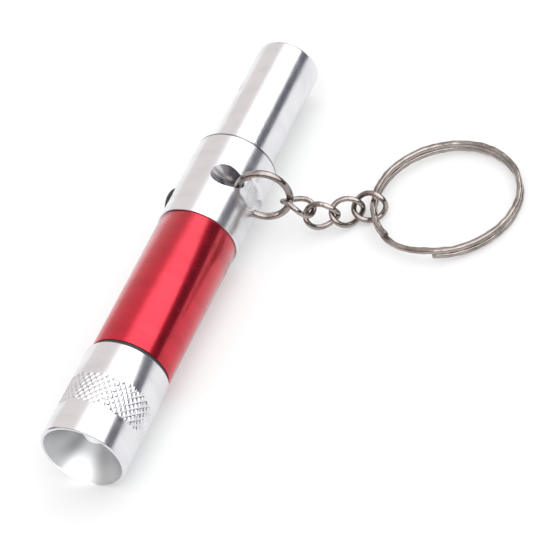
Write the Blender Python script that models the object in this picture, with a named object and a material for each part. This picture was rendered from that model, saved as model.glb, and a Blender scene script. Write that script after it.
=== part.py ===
"""Keychain flashlight with a whistle tail, modelled as the pieces that it comes apart into.

The torch lies on its side. +Y runs along its axis from the lamp to the whistle, +X is the side
of the key ring and +Z is up. The origin is in the flat that the head rests on, straight below
the axis, REST_SETBACK behind the front rim. Sizes are in millimetres and are scaled to metres
when a mesh is made.
"""

import math

import bmesh
import bpy
from mathutils import Matrix, Vector

MM = 0.001

# Driving sizes of the torch, radii measured to the corners of its facets.
SIDES = 32
HEAD_RADIUS = 7.0
BARREL_RADIUS = 6.65
COLLAR_RADIUS = 6.83
TUBE_RADIUS = 5.35
HEAD_LENGTH = 17.05
BARREL_LENGTH = 27.4
COLLAR_LENGTH = 17.15
TUBE_SHOWN = 22.45
SEAM = 0.35
BUTT_GAP = 0.04

# Stations along the axis.
REST_SETBACK = 3.0
RIM_Y = -REST_SETBACK
HEAD_END = RIM_Y + HEAD_LENGTH
BARREL_START = HEAD_END + SEAM
BARREL_END = BARREL_START + BARREL_LENGTH
COLLAR_START = BARREL_END + BUTT_GAP
COLLAR_END = COLLAR_START + COLLAR_LENGTH
TAIL_Y = COLLAR_END + TUBE_SHOWN
AXIS_HEIGHT = HEAD_RADIUS * math.cos(math.pi / SIDES)

# Threaded spigots that the barrel is screwed on to, and the bores inside them.
SPIGOT_RADIUS = 6.0
SPIGOT_LENGTH = 4.4
SPIGOT_BORE = 5.2
BARREL_BORE = 6.15

# Lamp.
DISH_MOUTH = 6.05
DISH_THROAT = 2.75
DISH_DEPTH = 7.1
LED_RADIUS = 2.5
LEAD_SPACING = 2.54

# Button cells.
CELL_RADIUS = 5.8
CELL_HEIGHT = 5.2
CELL_PITCH = 5.3
CELL_COUNT = 3
FIRST_CELL_Y = HEAD_END + SPIGOT_LENGTH + 0.65

# Push button, on the side away from the key ring.
BUTTON_ANGLE = math.radians(168)
BUTTON_Y = COLLAR_START + 5.75
BUTTON_RADIUS = 2.45
BUTTON_TOP = COLLAR_RADIUS + 1.0
POCKET_RADIUS = 3.1
POCKET_FLOOR = 0.4
POCKET_CEILING = 5.35
COLLAR_BORE_DEPTH = 6.6

# Key-ring hole, drilled across the collar as a chord.
HOLE_ANGLE = math.radians(17)
HOLE_OFFSET = 4.93
HOLE_RADIUS = 1.6
HOLE_FLARE = 0.4
HOLE_Y = COLLAR_START + 8.75

# Whistle.
SOCKET_DEPTH = 4.4
SOCKET_RADIUS = 5.45
TUBE_BORE = 4.55
WINDOW_ANGLE = math.radians(168)
WINDOW_EDGE_Y = TAIL_Y - 9.0
WINDOW_LENGTH = 2.2
RAMP_LENGTH = 3.0
WINDWAY_HEIGHT = 0.8

# Chain and key ring.
JUMP_RADIUS = 4.34
JUMP_WIRE = 0.575
JUMP_CENTRE = Vector((8.49, 50.94, 8.46))
JUMP_NORMAL = Vector((0.213, -0.968, 0.130)).normalized()
LINK_HALF_LENGTH = 2.6
LINK_HALF_WIDTH = 2.15
LINK_TWIST = 0.5
LINK_WIRE = 0.45
# Each link's centre, the direction of its length and the direction of its width.
LINKS = (
    ((13.55, 51.84, 5.76), (0.778, 0.281, -0.562), (0.478, -0.845, 0.239)),
    ((16.92, 52.16, 3.55), (0.906, 0.387, -0.171), (0.086, 0.226, 0.970)),
    ((20.34, 54.28, 2.59), (0.756, 0.614, -0.226), (-0.134, 0.483, 0.865)),
    ((23.37, 56.18, 2.17), (0.943, 0.333, 0.008), (-0.227, 0.626, 0.746)),
)
RING_RADIUS = 11.75
RING_CENTRE = Vector((35.23, 59.95, 0))
RING_LIFTED_SIDE = Vector((-0.93, -0.37, 0))
RING_TILT = math.radians(2.75)
RING_WIRE_WIDTH = 0.96
RING_WIRE_HEIGHT = 0.92
RING_LAYER = 0.98
RING_UPPER_END = math.radians(-125)
RING_LOWER_END = math.radians(-81)


def material(name, colour, roughness, metallic=0.0):
    """A Principled BSDF material with one colour."""
    made = bpy.data.materials.new(name)
    made.use_nodes = True
    shader = made.node_tree.nodes["Principled BSDF"]
    shader.inputs["Base Color"].default_value = (*colour, 1.0)
    shader.inputs["Roughness"].default_value = roughness
    shader.inputs["Metallic"].default_value = metallic
    return made


def add_object(name, data, finish=None, place=(0, 0, 0), turn=None):
    """An object of the given data at a place in millimetres, turned by a 3x3 matrix."""
    made = bpy.data.objects.new(name, data)
    bpy.context.scene.collection.objects.link(made)
    made.location = Vector(place) * MM
    if turn is not None:
        made.rotation_euler = turn.to_euler()
    if finish is not None:
        data.materials.append(finish)
    return made


def smooth(mesh, angle=30):
    """Round pieces are shaded smooth, with sharp edges where faces meet at more than the angle."""
    mesh.shade_smooth()
    mesh.set_sharp_from_angle(angle=math.radians(angle))


def across(angle):
    """The unit direction at an angle from +X towards +Z, square to the torch's axis."""
    return Vector((math.cos(angle), 0, math.sin(angle)))


def facing(direction, side):
    """A rotation that takes +Y to the direction and +X as near to side as it can."""
    along = Vector(direction).normalized()
    lateral = Vector(side) - along * along.dot(Vector(side))
    lateral.normalize()
    return Matrix((lateral, along, lateral.cross(along))).transposed()


def turned_mesh(name, profile, sides=SIDES):
    """A solid turned about +Y from an outline of (radius, y) points.

    The outline is closed unless it starts and ends on the axis. Its facets lie square to -Z.
    """
    on_axis = profile[0][0] == 0 and profile[-1][0] == 0
    work = bmesh.new()
    start = math.pi / sides
    verts = [work.verts.new((r * math.cos(start), y, r * math.sin(start))) for r, y in profile]
    pairs = list(zip(verts, verts[1:]))
    if not on_axis:
        pairs.append((verts[-1], verts[0]))
    edges = [work.edges.new(pair) for pair in pairs]
    bmesh.ops.spin(work, geom=verts + edges, axis=(0, 1, 0), cent=(0, 0, 0),
                   angle=2 * math.pi, steps=sides, use_merge=True)
    bmesh.ops.remove_doubles(work, verts=work.verts, dist=1e-5)
    bmesh.ops.recalc_face_normals(work, faces=work.faces)
    bmesh.ops.scale(work, vec=(MM, MM, MM), verts=work.verts)
    mesh = bpy.data.meshes.new(name)
    work.to_mesh(mesh)
    work.free()
    smooth(mesh)
    return mesh


def turned(name, profile, finish, sides=SIDES, place=(0, 0, AXIS_HEIGHT), turn=None):
    """An object turned about the torch's axis, or about the axis that turn and place give."""
    return add_object(name, turned_mesh(name, profile, sides), finish, place, turn)


def disc(radius, start, end, chamfer=0.0):
    """The outline of a plain disc or rod from start to end, with its edges broken."""
    return [(0, start), (radius - chamfer, start), (radius, start + chamfer),
            (radius, end - chamfer), (radius - chamfer, end), (0, end)] if chamfer else [
                (0, start), (radius, start), (radius, end), (0, end)]


def sleeve(inner, outer, start, end):
    """The outline of a plain ring or tube from start to end."""
    return [(inner, start), (outer, start), (outer, end), (inner, end)]


def block(name, size, centre, finish, place=(0, 0, AXIS_HEIGHT), turn=None):
    """A box of the given size, centred at centre in its own frame."""
    work = bmesh.new()
    bmesh.ops.create_cube(work, size=1)
    bmesh.ops.scale(work, vec=size, verts=work.verts)
    bmesh.ops.translate(work, vec=centre, verts=work.verts)
    bmesh.ops.scale(work, vec=(MM, MM, MM), verts=work.verts)
    mesh = bpy.data.meshes.new(name)
    work.to_mesh(mesh)
    work.free()
    return add_object(name, mesh, finish, place, turn)


def wedge(name, outline, width, turn):
    """A cutter extruded from an outline of (outward, y) points, outward being its +X."""
    work = bmesh.new()
    verts = [work.verts.new((x, y, -width / 2)) for x, y in outline]
    face = work.faces.new(verts)
    grown = bmesh.ops.extrude_face_region(work, geom=[face])
    top = [item for item in grown["geom"] if isinstance(item, bmesh.types.BMVert)]
    bmesh.ops.translate(work, vec=(0, 0, width), verts=top)
    bmesh.ops.recalc_face_normals(work, faces=work.faces)
    bmesh.ops.scale(work, vec=(MM, MM, MM), verts=work.verts)
    mesh = bpy.data.meshes.new(name)
    work.to_mesh(mesh)
    work.free()
    return add_object(name, mesh, None, (0, 0, AXIS_HEIGHT), turn)


def cut(target, cutter):
    """Take the cutter out of the target and keep the cutter as a hidden guide."""
    modifier = target.modifiers.new(cutter.name, "BOOLEAN")
    modifier.operation = "DIFFERENCE"
    modifier.solver = "EXACT"
    modifier.object = cutter
    cutter.hide_render = True
    cutter.display_type = "WIRE"


def wire(name, points, radius, finish, closed, sides_level=2, place=(0, 0, 0), turn=None):
    """A round wire through the points, given in millimetres about the place."""
    data = bpy.data.curves.new(name, "CURVE")
    data.dimensions = "3D"
    data.bevel_depth = radius * MM
    data.bevel_resolution = sides_level
    data.use_fill_caps = True
    spline = data.splines.new("POLY")
    spline.points.add(len(points) - 1)
    for point, target in zip(points, spline.points):
        target.co = (*(Vector(point) * MM), 1.0)
    spline.use_cyclic_u = closed
    spline.use_smooth = True
    return add_object(name, data, finish, place, turn)


def dish_outline():
    """The reflector's hollow, from its throat to its mouth, as (radius, y) points."""
    steps = 6
    throat_y = RIM_Y + 0.3 + DISH_DEPTH
    outline = []
    for index in range(steps + 1):
        share = index / steps
        radius = DISH_THROAT + (DISH_MOUTH - DISH_THROAT) * share
        outline.append((radius, throat_y - DISH_DEPTH * share ** 1.25))
    return outline


def dome(radius, base, top_y, steps=5):
    """A hemisphere's outline from (radius, base) to the axis, opening towards -Y."""
    height = base - top_y
    return [(radius * math.cos(math.pi / 2 * i / steps), base - height * math.sin(math.pi / 2 * i / steps))
            for i in range(steps)] + [(0, top_y)]


def build_head(aluminium, mirror, clear, tinned, black_plastic, board, brass, rubber):
    """The knurled head and all that turns with it, and the seal in its seam."""
    seat = RIM_Y + 8.4
    turned("head_shell", [
        (6.35, RIM_Y), (6.75, RIM_Y), (HEAD_RADIUS, RIM_Y + 0.25), (HEAD_RADIUS, HEAD_END),
        (SPIGOT_RADIUS, HEAD_END), (SPIGOT_RADIUS, HEAD_END + SPIGOT_LENGTH),
        (SPIGOT_BORE, HEAD_END + SPIGOT_LENGTH), (SPIGOT_BORE, seat), (6.35, seat)], aluminium)
    turned("reflector", dish_outline() + [
        (6.25, RIM_Y + 0.3), (6.25, RIM_Y + 1.6), (3.6, RIM_Y + 8.1), (DISH_THROAT, RIM_Y + 8.1)],
        mirror)
    flange = RIM_Y + 10.9
    turned("led_lens", dome(LED_RADIUS, flange - 5.0, flange - 7.5)[::-1] + [
        (LED_RADIUS, flange), (2.9, flange), (2.9, flange + 1.0), (0, flange + 1.0)], clear, 24)
    holder_start = flange + 1.2
    holder_end = HEAD_END + 1.4
    holder = turned("led_holder", disc(5.05, holder_start, holder_end), black_plastic)
    for name, side in (("led_lead_positive", -1), ("led_lead_negative", 1)):
        x = side * LEAD_SPACING / 2
        turned(name, disc(0.25, flange + 1.05, holder_end), tinned, 8, (x, 0, AXIS_HEIGHT))
        cut(holder, turned(name + "_hole", disc(0.45, flange, holder_end + 1), None, 12,
                           (x, 0, AXIS_HEIGHT)))
    turned("lamp_board", disc(4.95, holder_end + 0.1, holder_end + 0.8), board)
    pad = holder_end + 0.9
    turned("positive_contact", [(0, pad), (2.3, pad), (2.3, pad + 0.3), (1.3, pad + 0.3),
                                (1.3, FIRST_CELL_Y - 0.35), (0.9, FIRST_CELL_Y - 0.1),
                                (0, FIRST_CELL_Y - 0.1)], brass, 20)
    turned("head_o_ring", sleeve(SPIGOT_RADIUS + 0.1, BARREL_RADIUS - 0.1, HEAD_END + 0.02,
                                 BARREL_START - 0.02), rubber)


def build_barrel(red, steel, card, gold):
    """The red barrel, its button cells in their sleeve, and the spring behind them."""
    turned("barrel", sleeve(BARREL_BORE, BARREL_RADIUS, BARREL_START, BARREL_END), red)
    cell = turned_mesh("button_cell", [
        (0, 0), (5.55, 0), (CELL_RADIUS, 0.25), (CELL_RADIUS, 4.4), (5.5, 4.75), (4.4, 4.75),
        (4.3, CELL_HEIGHT), (0, CELL_HEIGHT)])
    cell.materials.append(steel)
    for index in range(CELL_COUNT):
        add_object(f"button_cell_{index + 1}", cell, None,
                   (0, FIRST_CELL_Y + index * CELL_PITCH, AXIS_HEIGHT))
    last = FIRST_CELL_Y + CELL_COUNT * CELL_PITCH
    turned("cell_sleeve", sleeve(5.91, 6.05, FIRST_CELL_Y - 0.4, last + 0.3), card)
    start, end = last + 0.3, COLLAR_START - 3.9
    turns, wide, narrow, steps = 3.0, 3.9, 2.0, 48
    coil = []
    for index in range(steps + 1):
        share = index / steps
        angle = 2 * math.pi * turns * share
        radius = narrow + (wide - narrow) * share
        coil.append((radius * math.cos(angle), start + (end - start) * share,
                     radius * math.sin(angle)))
    wire("contact_spring", coil, 0.25, gold, False, 1, (0, 0, AXIS_HEIGHT))


def build_collar(aluminium):
    """The rear housing: spigot, switch bore, button pocket, key-ring hole and whistle socket."""
    bore_end = COLLAR_START + COLLAR_BORE_DEPTH
    socket = COLLAR_END - SOCKET_DEPTH
    start = COLLAR_START - SPIGOT_LENGTH
    collar = turned("collar", [
        (0, bore_end), (5.1, bore_end), (5.1, start), (SPIGOT_RADIUS, start),
        (SPIGOT_RADIUS, COLLAR_START), (COLLAR_RADIUS, COLLAR_START),
        (COLLAR_RADIUS, COLLAR_END - 0.45), (COLLAR_RADIUS - 0.45, COLLAR_END),
        (SOCKET_RADIUS, COLLAR_END), (SOCKET_RADIUS, socket), (0, socket)], aluminium)
    out = across(BUTTON_ANGLE)
    turn = facing(out, (0, 0, 1))
    place = (0, BUTTON_Y, AXIS_HEIGHT)
    cut(collar, turned("button_hole", disc(BUTTON_RADIUS + 0.15, POCKET_CEILING - 0.5, 9), None,
                       28, place, turn))
    cut(collar, turned("button_pocket", disc(POCKET_RADIUS, POCKET_FLOOR, POCKET_CEILING), None,
                       28, place, turn))
    offset = across(HOLE_ANGLE) * HOLE_OFFSET
    mouth = HOLE_RADIUS + HOLE_FLARE
    bored = [(0, -12), (mouth, -12), (mouth, -4.6), (HOLE_RADIUS, -1.2), (HOLE_RADIUS, 1.2),
             (mouth, 4.6), (mouth, 12), (0, 12)]
    cut(collar, turned("key_ring_hole", bored, None, 24,
                       (offset.x, HOLE_Y, AXIS_HEIGHT + offset.z),
                       facing(across(HOLE_ANGLE + math.pi / 2), (0, 1, 0))))


def build_switch(black_plastic, board, steel, brass, rubber):
    """The switch, its carrier in the collar's bore, and the rubber button over it."""
    front = COLLAR_START - 3.5
    bore_end = COLLAR_START + COLLAR_BORE_DEPTH
    out = across(BUTTON_ANGLE)
    turn = facing(out, (0, 0, 1))
    place = (0, BUTTON_Y, AXIS_HEIGHT)
    turned("negative_contact", disc(2.4, front - 0.35, front - 0.05), brass, 20)
    carrier = turned("switch_carrier", disc(4.95, front, bore_end - 0.2), black_plastic)
    side = facing((0, 1, 0), out)
    cut(carrier, block("carrier_pocket", (8, 10, 6.4),
                       (POCKET_FLOOR + 0.1 + 4, front + 2.0 + 5, 0), None, turn=side))
    board_start = front + 2.2
    board_end = BUTTON_Y + 1.8
    floor = POCKET_FLOOR + 0.2
    block("switch_board", (0.8, board_end - board_start, 4.4),
          (floor + 0.4, (board_start + board_end) / 2, 0), board, turn=side)
    base = floor + 0.85
    body = block("switch_body", (1.6, 3.4, 3.8), (base + 0.8, BUTTON_Y, 0), steel, turn=side)
    cut(body, turned("stem_hole", disc(1.15, base + 0.7, base + 3), None, 16, place, turn))
    turned("switch_stem", disc(0.9, base + 1.15, base + 2.45), black_plastic, 16, place, turn)
    nub = base + 2.5
    turned("button_cap", [
        (0, nub), (1.0, nub), (1.0, POCKET_CEILING - 0.75), (2.9, POCKET_CEILING - 0.75),
        (2.9, POCKET_CEILING - 0.1), (BUTTON_RADIUS, POCKET_CEILING - 0.1),
        (BUTTON_RADIUS, BUTTON_TOP - 0.95), (2.2, BUTTON_TOP - 0.5), (1.6, BUTTON_TOP - 0.17),
        (0.8, BUTTON_TOP - 0.03), (0, BUTTON_TOP)], rubber, 28, place, turn)


def build_whistle(aluminium, black_plastic):
    """The whistle tube with its window, and the plug that leaves a windway beside it."""
    tube = turned("whistle_tube", [
        (TUBE_BORE, COLLAR_END - SOCKET_DEPTH + 0.2), (TUBE_RADIUS, COLLAR_END - SOCKET_DEPTH + 0.2),
        (TUBE_RADIUS, TAIL_Y - 0.45), (TUBE_RADIUS - 0.3, TAIL_Y), (TUBE_BORE, TAIL_Y)], aluminium)
    side = facing((0, 1, 0), across(WINDOW_ANGLE))
    lip_y = WINDOW_EDGE_Y - WINDOW_LENGTH
    cut(tube, wedge("window_cutter", [
        (3.0, WINDOW_EDGE_Y), (3.0, lip_y), (TUBE_BORE - 0.1, lip_y),
        (TUBE_RADIUS + 0.2, lip_y - RAMP_LENGTH), (8.0, lip_y - RAMP_LENGTH),
        (8.0, WINDOW_EDGE_Y)], 7.0, side))
    plug = turned("whistle_plug", disc(TUBE_BORE - 0.1, WINDOW_EDGE_Y, TAIL_Y - 0.15), black_plastic)
    cut(plug, block("windway_cutter", (3, 14, 12),
                    (TUBE_BORE - WINDWAY_HEIGHT + 1.5, WINDOW_EDGE_Y + 4, 0), None, turn=side))


def jump_ring_points(steps=56):
    """The jump ring's centre line, starting at its point farthest from the torch."""
    out = Vector((1, 0, 0)) - JUMP_NORMAL * JUMP_NORMAL.x
    out.normalize()
    side = JUMP_NORMAL.normalized().cross(out)
    return [JUMP_CENTRE + (out * math.cos(angle) + side * math.sin(angle)) * JUMP_RADIUS
            for angle in (2 * math.pi * index / steps for index in range(steps))]


def link_points(centre, length_way, width_way, steps=36):
    """A curb link's centre line: an oval twisted about its length."""
    turn = Matrix((length_way, width_way, length_way.cross(width_way))).transposed()
    points = []
    for index in range(steps):
        angle = 2 * math.pi * index / steps
        along = LINK_HALF_LENGTH * math.cos(angle)
        wide = LINK_HALF_WIDTH * math.sin(angle)
        twist = LINK_TWIST * along / LINK_HALF_LENGTH
        points.append(centre + turn @ Vector((along, wide * math.cos(twist), wide * math.sin(twist))))
    return points


def nearest_point(points, target):
    """The point of a centre line that lies nearest to a target."""
    return min(points, key=lambda point: (point - target).length)


def squared(vector, other):
    """The part of a vector that is square to another, at unit length."""
    return (vector - other * vector.dot(other)).normalized()


def split_ring_mesh(pivot):
    """A flat wire wound nearly twice round, which steps down a layer between its two ends."""
    overlap = 2 * math.pi - (RING_LOWER_END - RING_UPPER_END)
    step_down = RING_LOWER_END - RING_UPPER_END
    total = 2 * overlap + step_down
    sections = 85
    half_width, half_height, corner = RING_WIRE_WIDTH / 2, RING_WIRE_HEIGHT / 2, 0.14
    outline = [(x * (half_width - corner * flat_y), z * (half_height - corner * flat_z))
               for x, z, flat_y, flat_z in ((1, 1, 0, 1), (1, 1, 1, 0), (-1, 1, 1, 0), (-1, 1, 0, 1),
                                            (-1, -1, 0, 1), (-1, -1, 1, 0), (1, -1, 1, 0),
                                            (1, -1, 0, 1))]
    raised = RING_LIFTED_SIDE.normalized()
    tilt = Matrix.Rotation(RING_TILT, 3, raised.cross(Vector((0, 0, 1))))
    rest = RING_CENTRE + Vector((0, 0, RING_LAYER / 2 + half_height
                                 + (RING_RADIUS + half_width) * math.sin(RING_TILT)))
    work = bmesh.new()
    loops = []
    for index in range(sections):
        gone = total * index / (sections - 1)
        share = min(max((gone - overlap) / step_down, 0), 1)
        layer = RING_LAYER * (0.5 - share * share * (3 - 2 * share))
        angle = RING_UPPER_END - gone
        out = Vector((math.cos(angle), math.sin(angle), 0))
        loops.append([work.verts.new((rest + tilt @ (out * (RING_RADIUS + x)
                                                     + Vector((0, 0, layer + z))) - pivot) * MM)
                      for x, z in outline])
    for first, second in zip(loops, loops[1:]):
        for index in range(len(outline)):
            after = (index + 1) % len(outline)
            work.faces.new((first[index], first[after], second[after], second[index]))
    work.faces.new(loops[0])
    work.faces.new(loops[-1])
    bmesh.ops.recalc_face_normals(work, faces=work.faces)
    mesh = bpy.data.meshes.new("split_ring")
    work.to_mesh(mesh)
    work.free()
    smooth(mesh, 50)
    return mesh


def build_chain(nickel):
    """The jump ring in the collar's hole, the four curb links and the split ring.

    Each piece has its origin on the wire that it hangs on.
    """
    hole = across(HOLE_ANGLE) * HOLE_OFFSET + Vector((0, HOLE_Y, AXIS_HEIGHT))
    jump = jump_ring_points()
    pivot = nearest_point(jump, hole)
    wire("jump_ring", [point - pivot for point in jump], JUMP_WIRE, nickel, True, 2, pivot)
    held_by = jump
    for index, (centre, length_way, width_way) in enumerate(LINKS):
        length_way = Vector(length_way).normalized()
        width_way = squared(Vector(width_way), length_way)
        points = link_points(Vector(centre), length_way, width_way)
        pivot = nearest_point(held_by, Vector(centre) - length_way * LINK_HALF_LENGTH)
        wire(f"chain_link_{index + 1}", [point - pivot for point in points], LINK_WIRE, nickel,
             True, 2, pivot)
        held_by = points
    pivot = nearest_point(held_by, RING_CENTRE)
    add_object("split_ring", split_ring_mesh(pivot), nickel, pivot)


def main():
    """Clear the scene and build every piece."""
    for item in list(bpy.data.objects):
        bpy.data.objects.remove(item, do_unlink=True)
    aluminium = material("aluminium", (0.80, 0.80, 0.82), 0.25, 1.0)
    red = material("red_anodised", (0.75, 0.05, 0.08), 0.3, 1.0)
    mirror = material("mirror", (0.92, 0.93, 0.94), 0.08, 1.0)
    clear = material("clear_lens", (0.92, 0.95, 1.0), 0.05)
    nickel = material("nickel", (0.70, 0.67, 0.65), 0.15, 1.0)
    brass = material("brass", (0.80, 0.62, 0.30), 0.3, 1.0)
    board = material("circuit_board", (0.05, 0.25, 0.10), 0.5)
    rubber = material("black_rubber", (0.03, 0.03, 0.03), 0.7)
    black_plastic = material("black_plastic", (0.05, 0.05, 0.05), 0.4)
    card = material("sleeve_film", (0.85, 0.82, 0.74), 0.6)
    build_head(aluminium, mirror, clear, nickel, black_plastic, board, brass, rubber)
    build_barrel(red, nickel, card, brass)
    build_collar(aluminium)
    build_switch(black_plastic, board, nickel, brass, rubber)
    build_whistle(aluminium, black_plastic)
    build_chain(nickel)


main()
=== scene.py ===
"""The finished look of a keychain torch with a whistle tail.

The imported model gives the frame. This script makes the smooth turned metal, the knurling, the
wire chain and the finishes around it. Sizes are in millimetres in the torch's frame: +Y along
the axis from the lamp to the whistle, +X towards the key ring, +Z up.
"""

from __future__ import annotations

import logging
import math
from dataclasses import dataclass
from enum import Enum
from typing import Any

import bmesh
import bpy
from mathutils import Matrix, Vector

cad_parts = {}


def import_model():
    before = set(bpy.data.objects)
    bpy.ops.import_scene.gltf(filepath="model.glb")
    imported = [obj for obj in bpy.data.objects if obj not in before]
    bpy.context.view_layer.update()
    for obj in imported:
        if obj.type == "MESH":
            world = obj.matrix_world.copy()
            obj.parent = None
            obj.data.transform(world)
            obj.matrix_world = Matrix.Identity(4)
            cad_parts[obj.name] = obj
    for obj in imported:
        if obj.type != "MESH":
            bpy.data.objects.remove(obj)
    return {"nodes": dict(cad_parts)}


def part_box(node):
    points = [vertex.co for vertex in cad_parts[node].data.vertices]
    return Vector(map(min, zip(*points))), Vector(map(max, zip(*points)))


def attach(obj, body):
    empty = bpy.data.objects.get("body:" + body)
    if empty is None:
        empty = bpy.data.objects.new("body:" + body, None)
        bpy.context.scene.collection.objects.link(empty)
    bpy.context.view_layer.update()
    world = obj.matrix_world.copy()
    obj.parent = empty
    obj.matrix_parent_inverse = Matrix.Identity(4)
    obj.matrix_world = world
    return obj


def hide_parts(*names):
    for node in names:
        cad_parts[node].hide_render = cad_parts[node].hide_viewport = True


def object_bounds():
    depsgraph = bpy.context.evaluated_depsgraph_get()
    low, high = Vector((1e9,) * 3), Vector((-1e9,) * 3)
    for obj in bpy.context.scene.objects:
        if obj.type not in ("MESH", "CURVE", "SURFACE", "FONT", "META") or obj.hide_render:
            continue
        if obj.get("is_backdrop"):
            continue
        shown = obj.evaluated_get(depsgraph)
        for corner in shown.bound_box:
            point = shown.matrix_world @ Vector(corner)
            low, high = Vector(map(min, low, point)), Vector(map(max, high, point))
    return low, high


LOG = logging.getLogger("torch")
MM = 0.001
THREAD_PITCH = 0.7
Outline = list[tuple[float, float]]


class Flow:
    """One output of a node tree, with arithmetic that adds Math nodes."""

    def __init__(self, bench: Bench, socket: bpy.types.NodeSocket) -> None:
        """Keep the socket and the bench whose tree it is in."""
        self.bench = bench
        self.socket = socket

    def maths(self, operation: str, *others: Flow | float) -> Flow:
        """Run one Math operation on this value.

        Args:
            operation: The Math node's operation.
            others: The operation's further operands.

        Returns:
            The result.
        """
        inputs = dict(enumerate((self, *others)))
        return self.bench.flow("ShaderNodeMath", {"operation": operation}, inputs)

    def from_number(self, operation: str, first: float) -> Flow:
        """Run one Math operation with a number as its first operand and this value second."""
        return self.bench.flow("ShaderNodeMath", {"operation": operation}, {0: first, 1: self})

    def __add__(self, other: Flow | float) -> Flow:
        """Add."""
        return self.maths("ADD", other)

    __radd__ = __add__

    def __sub__(self, other: Flow | float) -> Flow:
        """Subtract."""
        return self.maths("SUBTRACT", other)

    def __rsub__(self, other: float) -> Flow:
        """Subtract this value from a number."""
        return self.from_number("SUBTRACT", other)

    def __mul__(self, other: Flow | float) -> Flow:
        """Multiply."""
        return self.maths("MULTIPLY", other)

    __rmul__ = __mul__

    def __truediv__(self, other: Flow | float) -> Flow:
        """Divide."""
        return self.maths("DIVIDE", other)

    def __rtruediv__(self, other: float) -> Flow:
        """Divide a number by this value."""
        return self.from_number("DIVIDE", other)

    def __pow__(self, other: Flow | float) -> Flow:
        """Raise to a power."""
        return self.maths("POWER", other)

    def __neg__(self) -> Flow:
        """Change the sign."""
        return self.maths("MULTIPLY", -1.0)

    def step(self, low: float, high: float) -> Flow:
        """Rise smoothly from 0 at low to 1 at high, or fall if low is the higher."""
        first, second = min(low, high), max(low, high)
        ends = (0.0, 1.0) if low < high else (1.0, 0.0)
        return self.bench.flow("ShaderNodeMapRange", {"interpolation_type": "SMOOTHSTEP"},
                               {"Value": self, "From Min": first, "From Max": second,
                                "To Min": ends[0], "To Max": ends[1]})


class Bench:
    """A node tree being built."""

    def __init__(self, tree: bpy.types.NodeTree) -> None:
        """Keep the tree."""
        self.tree = tree

    def node(self, kind: str, settings: dict[str, Any] | None = None,
             inputs: dict[Any, Any] | None = None) -> bpy.types.Node:
        """Add a node.

        Args:
            kind: The node's type.
            settings: Its own properties.
            inputs: A value, a socket or a Flow for each input, by name or number.

        Returns:
            The node.
        """
        made = self.tree.nodes.new(kind)
        for key, value in (settings or {}).items():
            setattr(made, key, value)
        for key, value in (inputs or {}).items():
            target = made.inputs[key]
            source = value.socket if isinstance(value, Flow) else value
            if isinstance(source, bpy.types.NodeSocket):
                self.tree.links.new(source, target)
            else:
                target.default_value = source
        return made

    def flow(self, kind: str, settings: dict[str, Any] | None = None,
             inputs: dict[Any, Any] | None = None, output: int | str = 0) -> Flow:
        """Add a node and return one of its outputs."""
        return Flow(self, self.node(kind, settings, inputs).outputs[output])

    def mix(self, factor: Flow, first: tuple | Flow, second: tuple | Flow) -> Flow:
        """Blend two colours by a factor."""
        colours = [item if isinstance(item, Flow) else (*item, 1.0) for item in (first, second)]
        return self.flow("ShaderNodeMix", {"data_type": "RGBA"},
                         {0: factor, 6: colours[0], 7: colours[1]}, 2)

    def noise(self, vector: Flow, scale: float, detail: float = 2.0) -> Flow:
        """Noise of about 0 to 1 over a vector."""
        return self.flow("ShaderNodeTexNoise", None,
                         {"Vector": vector, "Scale": scale, "Detail": detail})

    def join(self, x: Flow | float, y: Flow | float, z: Flow | float) -> Flow:
        """Make a vector of three numbers."""
        return self.flow("ShaderNodeCombineXYZ", None, {0: x, 1: y, 2: z})

    def split(self, vector: Flow | bpy.types.NodeSocket) -> list[Flow]:
        """The three numbers of a vector."""
        made = self.node("ShaderNodeSeparateXYZ", None, {0: vector})
        return [Flow(self, made.outputs[index]) for index in range(3)]


class Grain(Enum):
    """Which way a surface's fine marks run."""

    TURNED = "rings about the torch's axis"
    DRAWN = "soft waves, as on drawn wire"
    TUMBLED = "fine speckle, as on tumbled tube"
    MOULDED = "fine even texture, as from a mould"


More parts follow.
